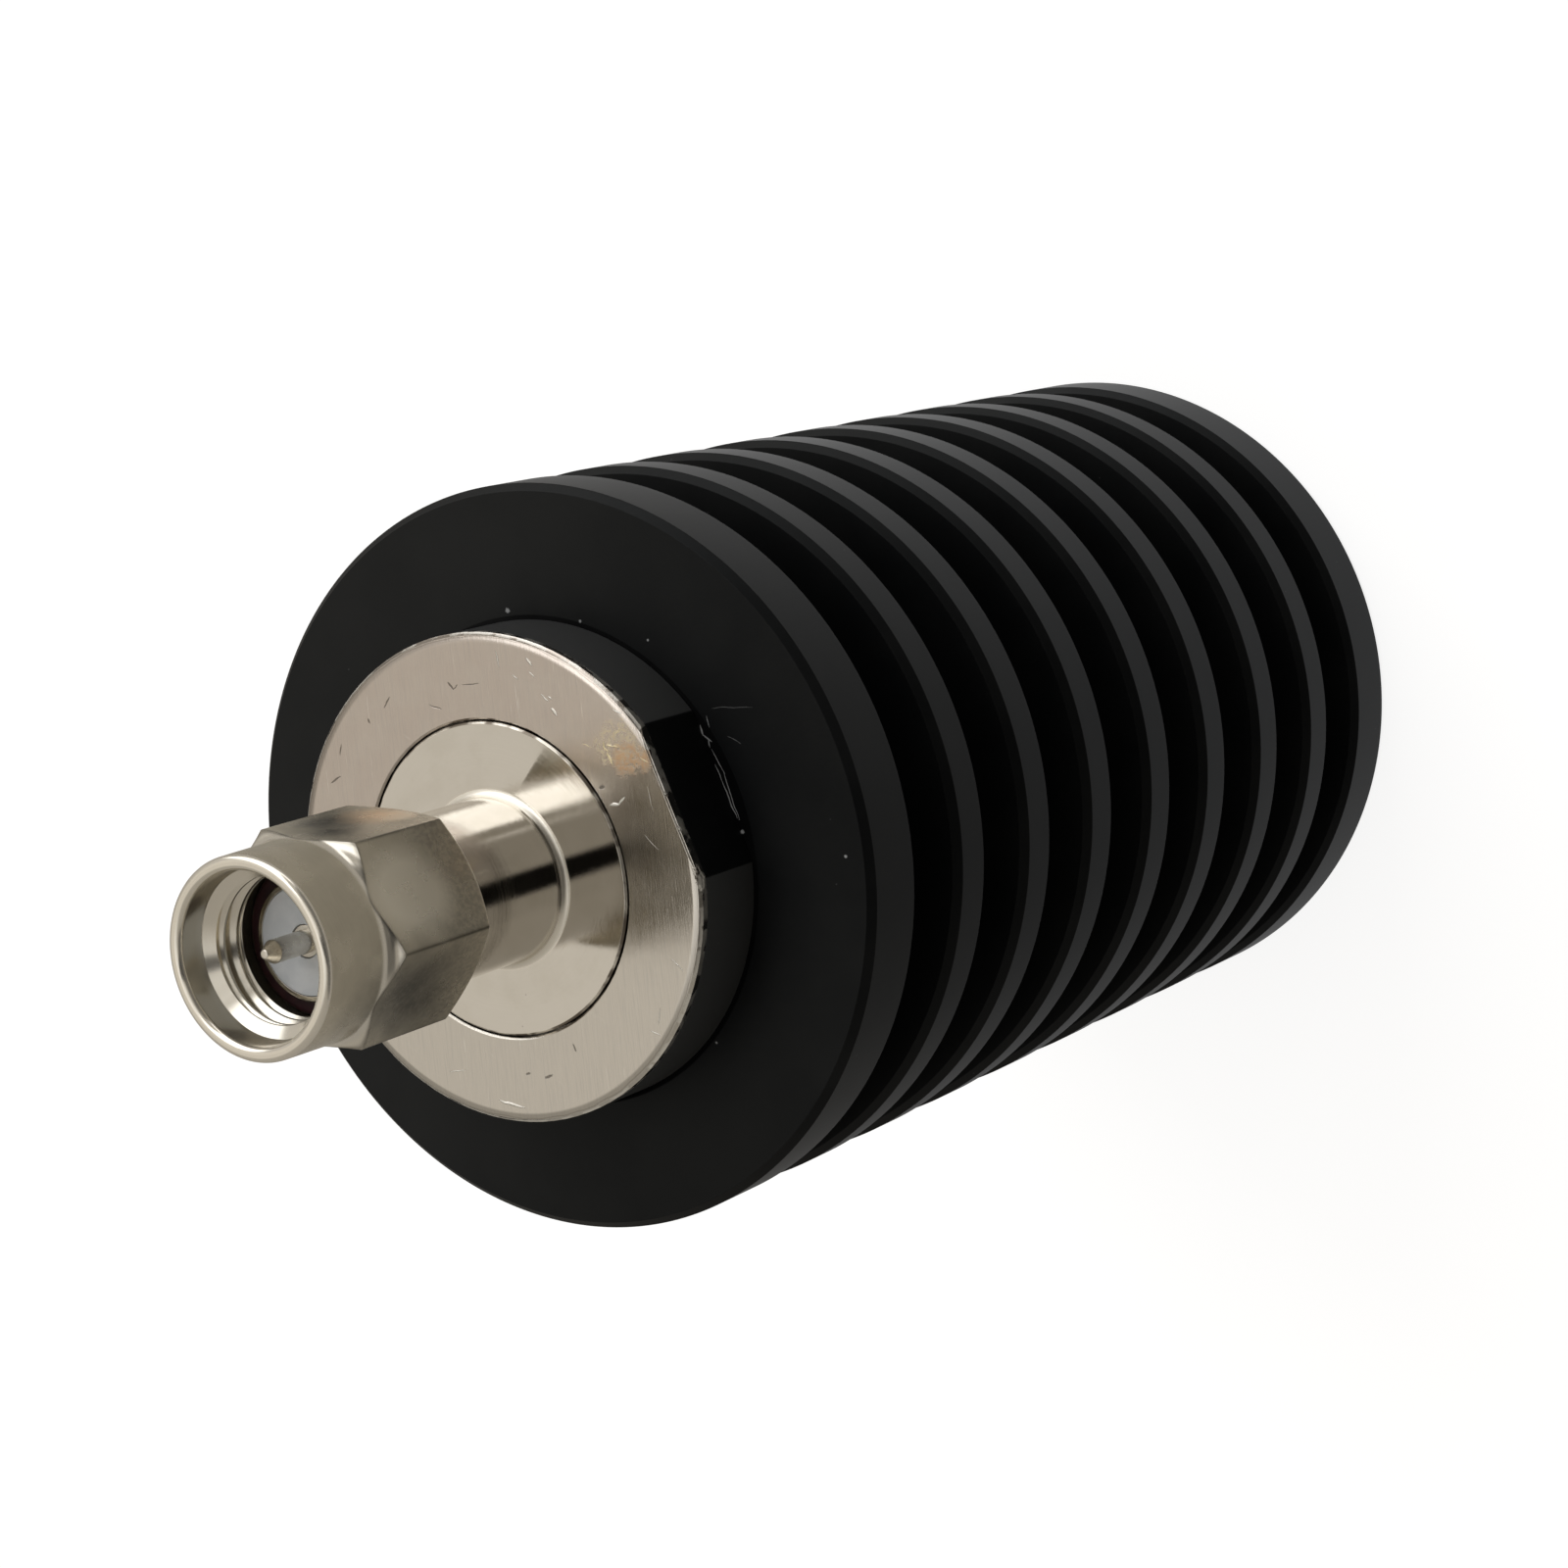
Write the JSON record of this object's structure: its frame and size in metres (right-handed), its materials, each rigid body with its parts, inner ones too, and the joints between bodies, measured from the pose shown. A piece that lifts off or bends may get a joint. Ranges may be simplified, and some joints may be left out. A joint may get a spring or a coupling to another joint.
{
  "type": "coaxial terminator",
  "caption": "Coaxial terminator: a threaded male coaxial connector with a hexagonal coupling nut on a round, black, finned heat sink with wrench flats.",
  "frame": {"origin": "centre of the heat sink's flat rear face, on which the part stands", "axes": "+Z along the axis to the connector's mouth, +X out of one wrench flat"},
  "size_m": [0.031, 0.031, 0.0661],
  "materials": {
    "black_anodised": "satin black anodised",
    "nickel_plate": "satin nickel plate on brass",
    "nickel_polished": "bright nickel plate on brass",
    "nickel_nut": "brushed nickel plate on brass",
    "spring_metal": "bright copper alloy",
    "contact_metal": "bright plated",
    "gasket_rubber": "soft dark red",
    "insulator_white": "smooth waxy white",
    "base_metal": "nickel-plated copper",
    "ceramic": "fired ceramic",
    "film": "printed resistive film",
    "silver_pad": "printed silver",
    "solder": "tin solder",
    "steel": "bright steel"
  },
  "bodies": {
    "root": {"heat_sink": "black_anodised", "load_core": "nickel_plate", "core_cover": "nickel_plate", "cover_screws": "steel", "connector_body": "nickel_polished", "gasket": "gasket_rubber", "front_insulator": "insulator_white", "rear_insulator": "insulator_white", "centre_contact": "contact_metal", "resistor_base": "base_metal", "base_screws": "steel", "base_washers": "steel", "chip_solder": "solder", "resistor_chip": "ceramic", "resistor_film": "film", "input_pad": "silver_pad", "ground_pad": "silver_pad", "resistor_lead": "silver_pad", "resistor_lid": "ceramic"},
    "ring": {"retaining_ring": "spring_metal"},
    "nut": {"coupling_nut": "nickel_nut"}
  },
  "joints": [
    {"name": "nut_float", "type": "slide", "parent": "root", "child": "ring", "axis": [0, 0, 1], "range_m": [0, 0.00035]},
    {"name": "nut_spin", "type": "hinge", "parent": "ring", "child": "nut", "pos_m": [0, 0, 0.0617], "axis": [0, 0, 1], "continuous": true}
  ]
}
